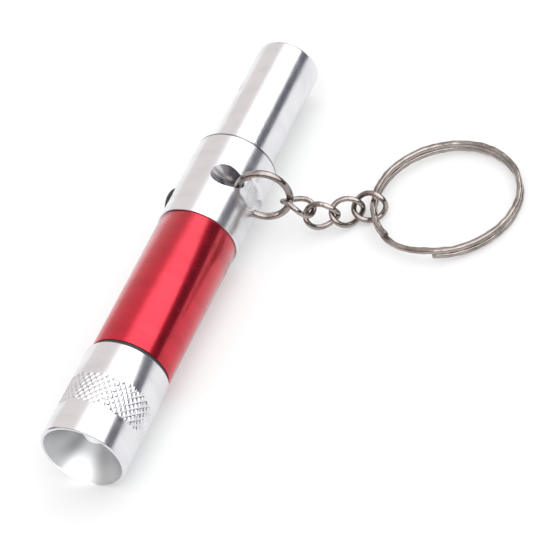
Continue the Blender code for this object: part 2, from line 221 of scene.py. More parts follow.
@dataclass(frozen=True)
class Finish:
    """A finish with fine marks, small changes of tone and a little wear.

    Attributes:
        name: The material's name.
        colour: Its main colour.
        shade: The colour of its darker or duller places.
        roughness: Its roughness where it is cleanest.
        spread: How much the roughness grows where it is dullest.
        metallic: 1 for bare metal.
        grain: Which way its marks run.
        relief: The depth of its marks in millimetres.
        coat: The weight of a clear coat.
        axis_height: The height of the torch's axis in metres.
    """

    name: str
    colour: tuple[float, float, float]
    shade: tuple[float, float, float]
    roughness: float
    spread: float = 0.1
    metallic: float = 1.0
    grain: Grain = Grain.TURNED
    relief: float = 0.002
    coat: float = 0.0
    axis_height: float = 0.007

    def marks(self, bench: Bench) -> tuple[Flow, Flow]:
        """The fine marks' height and the slow change of tone, both about 0 to 1."""
        place = bench.flow("ShaderNodeTexCoord", output="Object")
        x, y, z = bench.split(place)
        if self.grain is Grain.TURNED:
            rise = z - self.axis_height
            across = x * x + rise * rise
            radius = across ** 0.5
            angle = rise.maths("ARCTAN2", x)
            along = (y + radius) / MM
            rings = bench.join(angle * 3.0, along * 4.0, radius / MM)
            patches = bench.join(angle * 0.5, along * 0.35, 0.0)
            return bench.noise(rings, 1.6, 3.0), bench.noise(patches, 1.0, 2.0)
        if self.grain is Grain.DRAWN:
            return bench.noise(place, 1400.0, 2.0), bench.noise(place, 330.0, 3.0)
        if self.grain is Grain.TUMBLED:
            return bench.noise(place, 3600.0, 3.0), bench.noise(place, 260.0, 2.0)
        return bench.noise(place, 6000.0, 2.0), bench.noise(place, 500.0, 2.0)

    @staticmethod
    def closeness(bench: Bench, place: tuple[float, float, float], reach: float,
                  full: float) -> Flow:
        """How near a surface is to a place: 1 within a share of the reach, 0 beyond the reach.

        Args:
            bench: The material's tree.
            place: The place, in metres.
            reach: The reach, in metres.
            full: The share of the reach within which it is 1.

        Returns:
            The closeness.
        """
        here = bench.flow("ShaderNodeTexCoord", output="Object")
        gap = bench.flow("ShaderNodeVectorMath", {"operation": "DISTANCE"},
                         {0: here, 1: place}, "Value")
        return gap.step(reach, reach * full)

    def make(self) -> bpy.types.Material:
        """Build the material.

        Returns:
            The material.
        """
        made = bpy.data.materials.new(self.name)
        made.use_nodes = True
        bench = Bench(made.node_tree)
        shader = made.node_tree.nodes["Principled BSDF"]
        fine, slow = self.marks(bench)
        tone = slow.step(0.35, 0.75)
        links = made.node_tree.links
        links.new(bench.mix(tone, self.colour, self.shade).socket, shader.inputs["Base Color"])
        rough = self.roughness + tone * (self.spread * 0.5) + fine * (self.spread * 0.5)
        links.new(rough.socket, shader.inputs["Roughness"])
        shader.inputs["Metallic"].default_value = self.metallic
        shader.inputs["Coat Weight"].default_value = self.coat
        shader.inputs["Coat Roughness"].default_value = 0.08
        bump = bench.node("ShaderNodeBump", None,
                          {"Height": fine, "Distance": self.relief * MM, "Strength": 1.0})
        links.new(bump.outputs[0], shader.inputs["Normal"])
        self.dress(bench, shader, bump)
        return made

    def dress(self, bench: Bench, shader: bpy.types.Node, bump: bpy.types.Node) -> None:
        """Add what a finish has beyond its marks; a plain finish has nothing."""


@dataclass(frozen=True)
class ScuffedTurning(Finish):
    """Turned metal with nicks round one place.

    Attributes:
        nick_place: The middle of the nicks, in metres.
        nick_reach: How far they reach, in metres.
        nick_depth: How deep they are, in metres.
        bevel_y: Where the painted shade at the rear edge begins, in metres.
        bevel_shade_colour: The colour of the painted shade.
    """

    nick_place: tuple[float, float, float] = (0.0, 0.0, 0.0)
    nick_reach: float = 0.0026
    nick_depth: float = 0.0005
    bevel_y: float = 1.0
    bevel_shade_colour: tuple[float, float, float] = (0.2, 0.195, 0.2)

    def dress(self, bench: Bench, shader: bpy.types.Node, bump: bpy.types.Node) -> None:
        """Add the nicks as a second bump over the first, and paint shade on the metal at the rear
        edge.
        """
        near = self.closeness(bench, self.nick_place, self.nick_reach, 0.35)
        place = bench.flow("ShaderNodeTexCoord", output="Object")
        nicks = bench.noise(place, 3400.0, 3.0) * near
        over = bench.node("ShaderNodeBump", None,
                          {"Height": nicks, "Distance": self.nick_depth, "Strength": 1.0,
                           "Normal": bump.outputs[0]})
        bench.tree.links.new(over.outputs[0], shader.inputs["Normal"])
        # Painted shade: a dark band over the rear bevel stands in for the shade that it reflects.
        _, along, _ = bench.split(place)
        blur = 0.03 * MM
        bevel_shade_mask = along.step(self.bevel_y - blur, self.bevel_y + blur)
        plain = Flow(bench, shader.inputs["Base Color"].links[0].from_socket)
        shaded_colour = bench.mix(bevel_shade_mask, plain, self.bevel_shade_colour)
        bench.tree.links.new(shaded_colour.socket, shader.inputs["Base Color"])


@dataclass(frozen=True)
class LitFinish(Finish):
    """A finish that also glows round one place; on the rim and the dish it is a painted glow.

    Attributes:
        glow_place: The middle of the glow, in metres.
        glow_reach: How far it reaches, in metres.
        glow: Its strength at the middle.
    """

    glow_place: tuple[float, float, float] = (0.0, 0.0, 0.0)
    glow_reach: float = 0.006
    glow: float = 1.0

    def dress(self, bench: Bench, shader: bpy.types.Node, bump: bpy.types.Node) -> None:
        """Add the glow as emission that fades with distance."""
        near = self.closeness(bench, self.glow_place, self.glow_reach, 0.25)
        light = bench.mix(near, (0.0, 0.0, 0.0), (1.0, 1.0, 1.0))
        bench.tree.links.new(light.socket, shader.inputs["Emission Color"])
        shader.inputs["Emission Strength"].default_value = self.glow


class Lathe:
    """Makes meshes that are turned about the torch's axis."""

    def __init__(self, axis_height: float, segments: int = 160) -> None:
        """Keep the axis's height in metres and the number of segments round a turn."""
        self.axis_height = axis_height
        self.segments = segments

    def turn(self, outline: Outline, segments: int | None = None,
             place: Matrix | None = None) -> bpy.types.Mesh:
        """Turn an outline of (radius, y) points about +Y.

        Args:
            outline: The points, closed unless it starts and ends on the axis.
            segments: How many segments, if not the lathe's own number.
            place: Where the solid goes, if not on the torch's axis; its own axis is +Y.

        Returns:
            A closed mesh in metres, with its faces outwards.
        """
        count = segments or self.segments
        work = bmesh.new()
        verts = [work.verts.new((radius, y, 0)) for radius, y in outline]
        pairs = list(zip(verts, verts[1:]))
        if not (outline[0][0] == 0 and outline[-1][0] == 0):
            pairs.append((verts[-1], verts[0]))
        edges = [work.edges.new(pair) for pair in pairs]
        bmesh.ops.spin(work, geom=verts + edges, axis=(0, 1, 0), cent=(0, 0, 0),
                       angle=2 * math.pi, steps=count, use_merge=True)
        bmesh.ops.remove_doubles(work, verts=work.verts, dist=1e-5)
        bmesh.ops.recalc_face_normals(work, faces=work.faces)
        bmesh.ops.scale(work, vec=(MM, MM, MM), verts=work.verts)
        home = Matrix.Translation((0, 0, self.axis_height)) if place is None else place
        bmesh.ops.transform(work, matrix=home, verts=work.verts)
        mesh = bpy.data.meshes.new("turned")
        work.to_mesh(mesh)
        work.free()
        return mesh

    @staticmethod
    def rounded(corner: tuple[float, float], radius: float, start: float, end: float,
                steps: int = 5) -> Outline:
        """Points on an arc about a centre.

        Args:
            corner: The arc's centre, as (radius, y).
            radius: The arc's radius.
            start: The first point's angle in degrees, from outwards towards +Y.
            end: The last point's angle.
            steps: How many spans the arc has.

        Returns:
            The points.
        """
        middle, along = corner
        angles = [math.radians(start + (end - start) * index / steps) for index in range(steps + 1)]
        return [(middle + radius * math.cos(a), along + radius * math.sin(a)) for a in angles]

    @staticmethod
    def thread(root: float, crest: float, start: float, end: float, pitch: float) -> Outline:
        """A thread's outline, as rings from root to crest."""
        count = int((end - start) / pitch)
        points = []
        for index in range(count):
            begin = start + index * pitch
            points += [(root, begin), (crest, begin + pitch * 0.5)]
        return points + [(root, start + count * pitch)]


class Workshop:
    """Turns meshes into pieces of the object."""

    @staticmethod
    def piece(name: str, mesh: bpy.types.Mesh, finish: bpy.types.Material | None,
              sharp: float = 35.0) -> bpy.types.Object:
        """Make an object of a mesh, at the origin.

        Args:
            name: The object's name.
            mesh: Its mesh, in place.
            finish: Its material.
            sharp: The angle in degrees past which an edge stays sharp.

        Returns:
            The object.
        """
        made = bpy.data.objects.new(name, mesh)
        mesh.name = name
        bpy.context.scene.collection.objects.link(made)
        if finish is not None:
            mesh.materials.clear()
            mesh.materials.append(finish)
        mesh.shade_smooth()
        mesh.set_sharp_from_angle(angle=math.radians(sharp))
        return made

    @staticmethod
    def settle(piece: bpy.types.Object, sharp: float = 35.0) -> bpy.types.Object:
        """Replace a piece's mesh with its evaluated one, and remove its modifiers."""
        deps = bpy.context.evaluated_depsgraph_get()
        mesh = bpy.data.meshes.new_from_object(piece.evaluated_get(deps))
        piece.modifiers.clear()
        piece.data = mesh
        mesh.name = piece.name
        mesh.shade_smooth()
        mesh.set_sharp_from_angle(angle=math.radians(sharp))
        return piece

    @staticmethod
    def cut(piece: bpy.types.Object, *cutters: bpy.types.Mesh) -> bpy.types.Object:
        """Take solids out of a piece."""
        tools = []
        for index, mesh in enumerate(cutters):
            tool = bpy.data.objects.new(f"{piece.name}_tool_{index}", mesh)
            bpy.context.scene.collection.objects.link(tool)
            modifier = piece.modifiers.new(tool.name, "BOOLEAN")
            modifier.operation = "DIFFERENCE"
            modifier.solver = "EXACT"
            modifier.object = tool
            tools.append(tool)
        Workshop.settle(piece)
        for tool in tools:
            bpy.data.objects.remove(tool, do_unlink=True)
        return piece

    @staticmethod
    def grown(piece: bpy.types.Object, tree: bpy.types.NodeTree,
              values: dict[str, Any]) -> bpy.types.Object:
        """Run a Geometry Nodes tree on a piece and keep the result as its mesh.

        Args:
            piece: The piece.
            tree: The tree.
            values: The tree's inputs, by name.

        Returns:
            The piece.
        """
        modifier = piece.modifiers.new(tree.name, "NODES")
        modifier.node_group = tree
        sockets = {item.name: item.identifier for item in tree.interface.items_tree
                   if item.item_type == "SOCKET" and item.in_out == "INPUT"}
        for name, value in values.items():
            modifier[sockets[name]] = value
        return Workshop.settle(piece)

    @staticmethod
    def fit(piece: bpy.types.Object, body: str, slot: str, *nodes: str) -> bpy.types.Object:
        """Put a piece on its body and let it stand for CAD nodes."""
        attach(piece, body)
        if nodes:
            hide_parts(*nodes)
        LOG.info("%s on %s for %s, %d faces", piece.name, body, ", ".join(nodes),
                 len(piece.data.polygons))
        return piece


class Pattern:
    """A Geometry Nodes tree being built, with named inputs."""

    def __init__(self, name: str, inputs: dict[str, tuple[str, Any]]) -> None:
        """Start a tree.

        Args:
            name: The tree's name.
            inputs: For each input its socket type and its usual value.
        """
        self.tree = bpy.data.node_groups.new(name, "GeometryNodeTree")
        face, shape = self.tree.interface, "NodeSocketGeometry"
        face.new_socket("Geometry", in_out="INPUT", socket_type=shape)
        for key, (kind, value) in inputs.items():
            made = face.new_socket(key, in_out="INPUT", socket_type=kind)
            if value is not None:
                made.default_value = value
        face.new_socket("Geometry", in_out="OUTPUT", socket_type=shape)
        self.bench = Bench(self.tree)
        self.entry = self.tree.nodes.new("NodeGroupInput")

    def given(self, name: str) -> Flow:
        """One of the tree's inputs."""
        return Flow(self.bench, self.entry.outputs[name])

    def close(self, shape: Flow) -> bpy.types.NodeTree:
        """End the tree with Realize Instances and Set Material.

        Args:
            shape: The geometry.

        Returns:
            The tree.
        """
        real = self.bench.flow("GeometryNodeRealizeInstances", None, {"Geometry": shape})
        dressed = self.bench.flow("GeometryNodeSetMaterial", None,
                                  {"Geometry": real, "Material": self.given("Finish")})
        self.bench.node("NodeGroupOutput", None, {0: dressed})
        return self.tree


@dataclass(frozen=True)
class Finishes:
    """Every finish that the object has.

    Attributes:
        axis_height: The height of the torch's axis in metres.
        bridge: The middle of the metal between the key-ring hole and the outside, in metres.
        glow: Where the painted glow of the lamp's light is strongest on the rim, in metres.
        bevel_y: Where the painted shade at the collar's rear edge begins, in metres.
    """

    axis_height: float
    bridge: tuple[float, float, float]
    glow: tuple[float, float, float]
    bevel_y: float

    def build(self) -> dict[str, bpy.types.Material]:
        """Make the materials.

        Returns:
            The materials by name.
        """
        high = self.axis_height
        silver, silver_shade = (0.78, 0.78, 0.805), (0.71, 0.71, 0.74)
        kinds = [
            Finish("bright_aluminium", silver, silver_shade, 0.15, 0.12, grain=Grain.TUMBLED,
                   relief=0.022),
            # Painted glow: the rim glows as emission, standing in for the lamp's light falling on it.
            LitFinish("lamp_head_aluminium", silver, silver_shade, 0.17, 0.12, axis_height=high,
                      relief=0.0015, glow_place=self.glow, glow_reach=0.0042, glow=1.2),
            # The collar's finish also paints shade on its rear bevel.
            ScuffedTurning("collar_aluminium", silver, silver_shade, 0.17, 0.12,
                           axis_height=high, relief=0.0018, nick_place=self.bridge,
                           bevel_y=self.bevel_y),
            Finish("red_anodising", (0.58, 0.02, 0.042), (0.49, 0.014, 0.032), 0.2, 0.12,
                   axis_height=high, relief=0.0012, coat=0.55),
            # Painted glow: the dish glows as emission, a painted hot spot of the lamp's light.
            LitFinish("dish_mirror", (0.57, 0.575, 0.58), (0.50, 0.505, 0.51), 0.38, 0.1,
                      axis_height=high, relief=0.001, glow_place=self.glow, glow_reach=0.0050,
                      glow=0.5),
            LitFinish("lit_epoxy", (0.95, 0.97, 1.0), (0.9, 0.93, 1.0), 0.1, 0.05, metallic=0.0,
                      grain=Grain.MOULDED, relief=0.0005, glow_place=self.glow, glow_reach=0.03,
                      glow=0.1),
            Finish("nickel_wire", (0.40, 0.355, 0.33), (0.20, 0.175, 0.16), 0.09, 0.12,
                   grain=Grain.DRAWN, relief=0.05),
            Finish("tinned_steel", (0.75, 0.75, 0.73), (0.62, 0.62, 0.60), 0.2, 0.12,
                   axis_height=high, relief=0.001),
            Finish("plain_brass", (0.83, 0.64, 0.31), (0.66, 0.48, 0.22), 0.24, 0.14,
                   grain=Grain.DRAWN, relief=0.004),
            Finish("black_moulding", (0.022, 0.022, 0.024), (0.034, 0.034, 0.036), 0.38, 0.14,
                   metallic=0.0, grain=Grain.MOULDED, relief=0.004),
            Finish("black_rubber", (0.016, 0.016, 0.017), (0.03, 0.03, 0.03), 0.5, 0.16,
                   metallic=0.0, grain=Grain.MOULDED, relief=0.008),
            Finish("green_board", (0.03, 0.20, 0.07), (0.02, 0.14, 0.05), 0.3, 0.16,
                   metallic=0.0, grain=Grain.MOULDED, relief=0.004, coat=0.3),
            Finish("card_sleeve", (0.82, 0.79, 0.70), (0.74, 0.70, 0.60), 0.6, 0.2,
                   metallic=0.0, grain=Grain.MOULDED, relief=0.01),
        ]
        return {kind.name: kind.make() for kind in kinds}


@dataclass
class Head:
    """The knurled head with its dish, its lamp and the seal in its seam.

    Attributes:
        lathe: Turns the pieces.
        finish: The materials by name.
        rim_y: Where the front rim is.
        end_y: Where the head meets the seam.
        radius: The outside's radius.
        bore: The radius of the bore that the dish fills.
        spigot_length: How far the threaded spigot goes into the barrel.
        seat_depth: How far behind the rim the bore ends.
        knurl_start: How far behind the rim the knurl begins.
        knurl_length: The knurl's length.
        knurl_count: How many grooves of each hand go round.
        knurl_pitch: The distance along the axis between two grooves.
        knurl_depth: The grooves' depth.
    """

    lathe: Lathe
    finish: dict[str, bpy.types.Material]
    rim_y: float
    end_y: float
    radius: float
    bore: float = 6.42
    spigot_length: float = 4.4
    seat_depth: float = 8.4
    knurl_start: float = 5.2
    knurl_length: float = 6.1
    knurl_count: float = 40.0
    knurl_pitch: float = 1.25
    knurl_depth: float = 0.15

    def knurl_tree(self) -> bpy.types.NodeTree:
        """The tree that presses a diamond knurl into the outside of a turned piece."""
        number = "NodeSocketFloat"
        pattern = Pattern("diamond_knurl", {
            "Start": (number, 0.0), "Length": (number, 0.006), "Outside": (number, 0.0065),
            "Axis Height": (number, 0.007), "Count": (number, 40.0), "Pitch": (number, 0.0012),
            "Depth": (number, 0.0002), "Finish": ("NodeSocketMaterial", None)})
        bench = pattern.bench
        x, y, z = bench.split(bench.flow("GeometryNodeInputPosition"))
        rise = z - pattern.given("Axis Height")
        radius = (x * x + rise * rise) ** 0.5
        round_way = rise.maths("ARCTAN2", x) * pattern.given("Count") / (2 * math.pi)
        along = (y - pattern.given("Start")) / pattern.given("Pitch")
        lines = [self._groove(way) for way in (round_way + along, round_way - along)]
        groove = lines[0].maths("MAXIMUM", lines[1]).step(0.42, 1.0)
        fade = 0.7 * MM
        begin = (y - pattern.given("Start")) / fade
        finish = (pattern.given("Start") + pattern.given("Length") - y) / fade
        inside = begin.step(0.0, 1.0) * finish.step(0.0, 1.0)
        outer = radius.maths("GREATER_THAN", pattern.given("Outside"))
        sink = groove * inside * outer * pattern.given("Depth")
        out = bench.join(-(x / radius) * sink, 0.0, -(rise / radius) * sink)
        moved = bench.flow("GeometryNodeSetPosition", None,
                           {"Geometry": pattern.given("Geometry"), "Offset": out})
        return pattern.close(moved)

    @staticmethod
    def _groove(way: Flow) -> Flow:
        """1 on every whole number of a value and 0 half way between."""
        return (way.maths("FRACT") - 0.5).maths("ABSOLUTE") * 2.0

    def shell(self) -> bpy.types.Object:
        """The head's outside, knurled, with its threaded spigot."""
        lathe, rim, end, radius, bore = self.lathe, self.rim_y, self.end_y, self.radius, self.bore
        band_start, band_end = rim + self.knurl_start, rim + self.knurl_start + self.knurl_length
        rings, segments = 64, 400
        step = self.knurl_length / rings
        inner_edge, outer_edge, rear_edge = 0.13, 0.3, 0.12
        neck, root, crest, passage = 6.0, 5.82, 6.05, 5.2
        seat, tail = rim + self.seat_depth, end + self.spigot_length
        outline = (
            [(bore, rim + 0.34)]
            + lathe.rounded((bore + inner_edge, rim + inner_edge), inner_edge, 180, 270, 3)
            + lathe.rounded((radius - outer_edge, rim + outer_edge), outer_edge, 270, 360, 6)
            + [(radius, band_start + step * index) for index in range(rings + 1)]
            + [(radius, band_end + 0.4)]
            + lathe.rounded((radius - rear_edge, end - rear_edge), rear_edge, 0, 90, 3)
            + [(neck, end), (neck, end + 0.4)]
            + lathe.thread(root, crest, end + 0.5, tail - 0.3, THREAD_PITCH)
            + [(5.75, tail), (passage, tail), (passage, seat), (bore, seat)])
        piece = Workshop.piece("turned_head", lathe.turn(outline, segments),
                               self.finish["lamp_head_aluminium"], 50)
        return Workshop.grown(piece, self.knurl_tree(), {
            "Start": band_start * MM, "Length": self.knurl_length * MM,
            "Outside": (radius - 0.2) * MM, "Axis Height": lathe.axis_height,
            "Count": self.knurl_count, "Pitch": self.knurl_pitch * MM, "Depth": self.knurl_depth * MM,
            "Finish": self.finish["lamp_head_aluminium"]})

    def dish(self) -> bpy.types.Object:
        """The mirror round the lamp."""
        rim, depth, throat, mouth = self.rim_y + 0.12, 7.28, 2.75, 6.39
        outside, back, steps, hollowness = 6.415, rim + 8.0, 22, 1.25
        curve = []
        for index in range(steps + 1):
            share = index / steps
            curve.append((throat + (mouth - throat) * share,
                          rim + depth * (1 - share ** hollowness)))
        outline = curve + [(outside, rim), (outside, rim + 1.7), (3.6, back), (throat, back)]
        return Workshop.piece("dish_mirror_shell", self.lathe.turn(outline),
                              self.finish["dish_mirror"], 30)

    def lamp(self) -> bpy.types.Object:
        """The lamp's clear dome with its flange."""
        flange, dome, brim, back = self.rim_y + 10.9, 2.5, 2.9, self.rim_y + 11.9
        tip = Lathe.rounded((0, flange - 5.0), dome, 0, -90, 10)[::-1]
        outline = [(0.0, tip[0][1])] + tip[1:] + [
            (dome, flange), (brim - 0.02, flange + 0.02), (brim, flange + 0.1), (brim, back - 0.1),
            (brim - 0.08, back), (0.0, back)]
        return Workshop.piece("lamp_dome", self.lathe.turn(outline, 64), self.finish["lit_epoxy"])

    def seal(self) -> bpy.types.Object:
        """The black ring in the seam behind the head."""
        start, end, inner, outer, corner = self.end_y + 0.02, self.end_y + 0.68, 6.2, 6.6, 0.09
        outline = ([(inner, start), (outer - corner, start), (outer, start + corner)]
                   + Lathe.rounded((outer - corner, end - corner), corner, 0, 90, 4)
                   + [(inner, end)])
        return Workshop.piece("seam_ring", self.lathe.turn(outline), self.finish["black_rubber"])

    def build(self) -> None:
        """Make the pieces and put them on their bodies."""
        Workshop.fit(self.shell(), "head", "aluminium", "head_shell")
        Workshop.fit(self.dish(), "head", "reflector_mirror", "reflector")
        Workshop.fit(self.lamp(), "head", "led_epoxy", "led_lens")
        Workshop.fit(self.seal(), "head_seal", "black_rubber", "head_o_ring")


@dataclass
class Barrel:
    """The red barrel, a plain tube.

    Attributes:
        lathe: Turns the barrel.
        finish: The materials by name.
        start_y: Where the seam is.
        end_y: Where the collar begins.
        radius: The outside's radius.
        bore: The inside's radius.
        seam_room: How far behind the seam's start the barrel begins, so that the ring shows.
        spigot_length: How far the head's and the collar's spigots go in.
    """

    lathe: Lathe
    finish: dict[str, bpy.types.Material]
    start_y: float
    end_y: float
    radius: float
    bore: float = 6.15
    seam_room: float = 0.42
    spigot_length: float = 4.6

    def build(self) -> None:
        """Make the barrel with rounded ends and a bore that widens at its mouths."""
        lathe, end, radius, bore = self.lathe, self.end_y, self.radius, self.bore
        start, reach = self.start_y + self.seam_room, self.spigot_length
        front_edge, rear_edge, lead_in = 0.12, 0.06, 0.2
        outline = (
            lathe.rounded((radius - front_edge, start + front_edge), front_edge, 270, 360, 4)
            + lathe.rounded((radius - rear_edge, end - rear_edge), rear_edge, 0, 90, 2)
            + [(bore + 0.1, end), (bore, end - lead_in), (bore, end - reach), (bore, start + reach),
               (bore, start + lead_in), (bore + 0.1, start)])
        piece = Workshop.piece("red_barrel", lathe.turn(outline), self.finish["red_anodising"])
        Workshop.fit(piece, "torch", "red_anodised", "barrel")


@dataclass
class Collar:
    """The rear housing with the key-ring hole, the button pocket and the whistle's socket.

    Attributes:
        lathe: Turns the collar and the solids that are cut out of it.
        finish: The materials by name.
        start_y: Where it meets the barrel.
        end_y: Where its rear edge is.
        radius: The outside's radius.
        spigot_length: How far its threaded spigot goes into the barrel.
        socket_depth: How deep the whistle tube sits in it.
        bevel: The size of its rear bevel.
        button_angle: Which way the button faces, from +X towards +Z.
        button_setback: How far the button is behind the front edge.
        hole_angle: Which way the key-ring hole lies from the axis, from +X towards +Z.
        hole_offset: How far the hole's axis is from the torch's.
        hole_radius: The hole's radius where it is narrowest.
        hole_flare: How much wider it is at its mouths.
        hole_setback: How far the hole is behind the front edge.
    """

    lathe: Lathe
    finish: dict[str, bpy.types.Material]
    start_y: float
    end_y: float
    radius: float
    spigot_length: float = 4.4
    socket_depth: float = 4.4
    bevel: float = 0.45
    button_angle: float = math.radians(168)
    button_setback: float = 5.75
    hole_angle: float = math.radians(17)
    hole_offset: float = 4.93
    hole_radius: float = 1.6
    hole_flare: float = 0.4
    hole_setback: float = 8.75

    @staticmethod
    def across(angle: float) -> Vector:
        """The unit direction at an angle from +X towards +Z."""
        return Vector((math.cos(angle), 0, math.sin(angle)))

    @staticmethod
    def placed(direction: Vector, side: Vector, place: Vector) -> Matrix:
        """The place of a turned solid whose axis points in a direction.

        Args:
            direction: Where its +Y goes.
            side: Where its +X goes, as near as it can.
            place: Where its origin goes, in metres.

        Returns:
            The matrix.
        """
        lateral = (side - direction * side.dot(direction)).normalized()
        turn = Matrix((lateral, direction, lateral.cross(direction))).transposed()
        return Matrix.Translation(place) @ turn.to_4x4()

    def on_axis(self, setback: float) -> Vector:
        """The point of the torch's axis at a distance behind the front edge, in metres."""
        return Vector((0, (self.start_y + setback) * MM, self.lathe.axis_height))

    def beside_axis(self, offset: float) -> Vector:
        """The point at a distance from the axis towards the key-ring hole's middle, in metres."""
        return self.across(self.hole_angle) * offset * MM + self.on_axis(self.hole_setback)

    def body(self) -> bpy.types.Object:
        """The collar, bored, drilled and pocketed."""
        lathe, start, end, radius = self.lathe, self.start_y, self.end_y, self.radius
        socket_floor, front = end - self.socket_depth, start - self.spigot_length
        neck, root, crest, bore, bore_end, socket = 6.0, 5.82, 6.05, 5.1, start + 6.6, 5.45
        corner, mouth_bevel, segments = 0.06, 0.07, 72
        outline = (
            [(0, bore_end), (bore, bore_end), (bore, front), (5.75, front)]
            + lathe.thread(root, crest, front + 0.3, start - 0.6, THREAD_PITCH)
            + [(neck, start - 0.3), (neck, start), (radius - corner, start),
               (radius, start + corner), (radius, end - self.bevel), (radius - self.bevel, end),
               (socket + mouth_bevel, end), (socket, end - mouth_bevel), (socket, socket_floor),
               (0, socket_floor)])
        piece = Workshop.piece("rear_collar", lathe.turn(outline), self.finish["collar_aluminium"])
        pocket_wall, neck_wall, mouth_wall, floor, ledge, beyond = 3.1, 2.6, 2.85, 0.4, 5.35, 9
        pocket = lathe.turn([(0, floor), (pocket_wall, floor), (pocket_wall, ledge),
                             (neck_wall, ledge), (neck_wall, 6.45), (mouth_wall, 6.9),
                             (mouth_wall, beyond), (0, beyond)], segments,
                            self.placed(self.across(self.button_angle), Vector((0, 0, 1)),
                                        self.on_axis(self.button_setback)))
        narrow, wide, straight, flared, far = (self.hole_radius, self.hole_radius + self.hole_flare,
                                               1.2, 4.6, 12.0)
        bored = [(0, -far), (wide, -far), (wide, -flared), (narrow, -straight),
                 (narrow, straight), (wide, flared), (wide, far), (0, far)]
        hole = lathe.turn(bored, segments,
                          self.placed(self.across(self.hole_angle + math.pi / 2),
                                      Vector((0, 1, 0)), self.beside_axis(self.hole_offset)))
        return Workshop.cut(piece, pocket, hole)

    def button(self) -> bpy.types.Object:
        """The domed rubber button."""
        top, side = self.radius + 0.85, 2.45
        shoulder, nub, nub_side = self.radius - 0.35, 3.05, 1.0
        brim_side, brim_low, brim_high = 2.9, 4.6, 5.25
        dome = [(side * math.sin(math.radians(a)),
                 shoulder + (top - shoulder) * math.cos(math.radians(a)))
                for a in range(90, 0, -10)]
        outline = [(0, nub), (nub_side, nub), (nub_side, brim_low), (brim_side, brim_low),
                   (brim_side, brim_high), (side, brim_high)] + dome + [(0, top)]
        place = self.placed(self.across(self.button_angle), Vector((0, 0, 1)),
                            self.on_axis(self.button_setback))
        return Workshop.piece("rubber_button", self.lathe.turn(outline, 72, place),
                              self.finish["black_rubber"])

    def build(self) -> None:
        """Make the pieces and put them on their bodies."""
        Workshop.fit(self.body(), "torch", "aluminium", "collar")
        Workshop.fit(self.button(), "button", "black_rubber", "button_cap")


@dataclass
class Whistle:
    """The whistle tube with its window, and the plug that shapes its windway.

    Attributes:
        lathe: Turns the pieces.
        finish: The materials by name.
        start_y: Where the tube begins, inside the collar.
        end_y: Where its mouth is.
        radius: The outside's radius.
        bore: The inside's radius.
        window_angle: Which way the window faces, from +X towards +Z.
        window_setback: How far the window's rear edge is from the mouth.
        window_length: The window's length.
        ramp: The length of the slope that ends in the sharp lip.
        windway: The height of the gap between the plug's flat and the bore.
    """

    lathe: Lathe
    finish: dict[str, bpy.types.Material]
    start_y: float
    end_y: float
    radius: float
    bore: float = 4.55
    window_angle: float = math.radians(168)
    window_setback: float = 9.0
    window_length: float = 2.2
    ramp: float = 3.0
    windway: float = 0.8

    def slab(self, outline: Outline, width: float) -> bpy.types.Mesh:
        """A cutter extruded from (outward, y) points, outward being the window's direction."""
        work = bmesh.new()
        verts = [work.verts.new((x, y, -width / 2)) for x, y in outline]
        grown = bmesh.ops.extrude_face_region(work, geom=[work.faces.new(verts)])
        top = [item for item in grown["geom"] if isinstance(item, bmesh.types.BMVert)]
        bmesh.ops.translate(work, vec=(0, 0, width), verts=top)
        bmesh.ops.recalc_face_normals(work, faces=work.faces)
        bmesh.ops.scale(work, vec=(MM, MM, MM), verts=work.verts)
        out = Vector((math.cos(self.window_angle), 0, math.sin(self.window_angle)))
        axis = Vector((0, 1, 0))
        turn = Matrix((out, axis, out.cross(axis))).transposed().to_4x4()
        home = Matrix.Translation((0, 0, self.lathe.axis_height)) @ turn
        bmesh.ops.transform(work, matrix=home, verts=work.verts)
        mesh = bpy.data.meshes.new("slab")
        work.to_mesh(mesh)
        work.free()
        return mesh

    def tube(self) -> bpy.types.Object:
        """The tube, with a sharp lip across from the end of its windway."""
        start, end, radius, bore = self.start_y, self.end_y, self.radius, self.bore
        corner, mouth_edge = 0.1, 0.5
        outline = (
            [(bore, start), (radius - corner, start), (radius, start + corner)]
            + Lathe.rounded((radius - mouth_edge, end - mouth_edge), mouth_edge, 0, 90, 7)
            + [(bore + 0.08, end), (bore, end - 0.1)])
        piece = Workshop.piece("whistle_pipe", self.lathe.turn(outline),
                               self.finish["bright_aluminium"])
        edge = end - self.window_setback
        lip = edge - self.window_length
        inner, beyond, width = 3.0, 8.0, 7.0
        cutter = self.slab([(inner, edge), (inner, lip), (bore - 0.1, lip),
                            (radius + 0.2, lip - self.ramp), (beyond, lip - self.ramp),
                            (beyond, edge)], width)
        return Workshop.cut(piece, cutter)

    def plug(self) -> bpy.types.Object:
        """The plug, flattened on the side of the window to leave the windway."""
        start, end, radius = self.end_y - self.window_setback, self.end_y - 0.15, self.bore - 0.1
        corner, edge, dimple, dimple_depth = 0.05, 0.2, 0.9, 0.35
        outline = ([(0, start), (radius - corner, start), (radius, start + corner)]
                   + Lathe.rounded((radius - edge, end - edge), edge, 0, 90, 4)
                   + [(dimple + 0.2, end), (dimple, end - dimple_depth), (0, end - dimple_depth)])
        piece = Workshop.piece("whistle_stop", self.lathe.turn(outline, 96),
                               self.finish["black_moulding"])
        flat, past, width = self.bore - self.windway, 2, 12.0
        cutter = self.slab([(flat, start - past), (flat, end + past), (flat + 4, end + past),
                            (flat + 4, start - past)], width)
        return Workshop.cut(piece, cutter)

    def build(self) -> None:
        """Make the pieces and put them on their bodies."""
        Workshop.fit(self.tube(), "torch", "aluminium", "whistle_tube")
        Workshop.fit(self.plug(), "torch", "black_plastic", "whistle_plug")


@dataclass(frozen=True)
class Hang:
    """Where one curb link lies: its middle in millimetres, and its length's and width's ways."""

    middle: tuple[float, float, float]
    length_way: tuple[float, float, float]
    width_way: tuple[float, float, float]


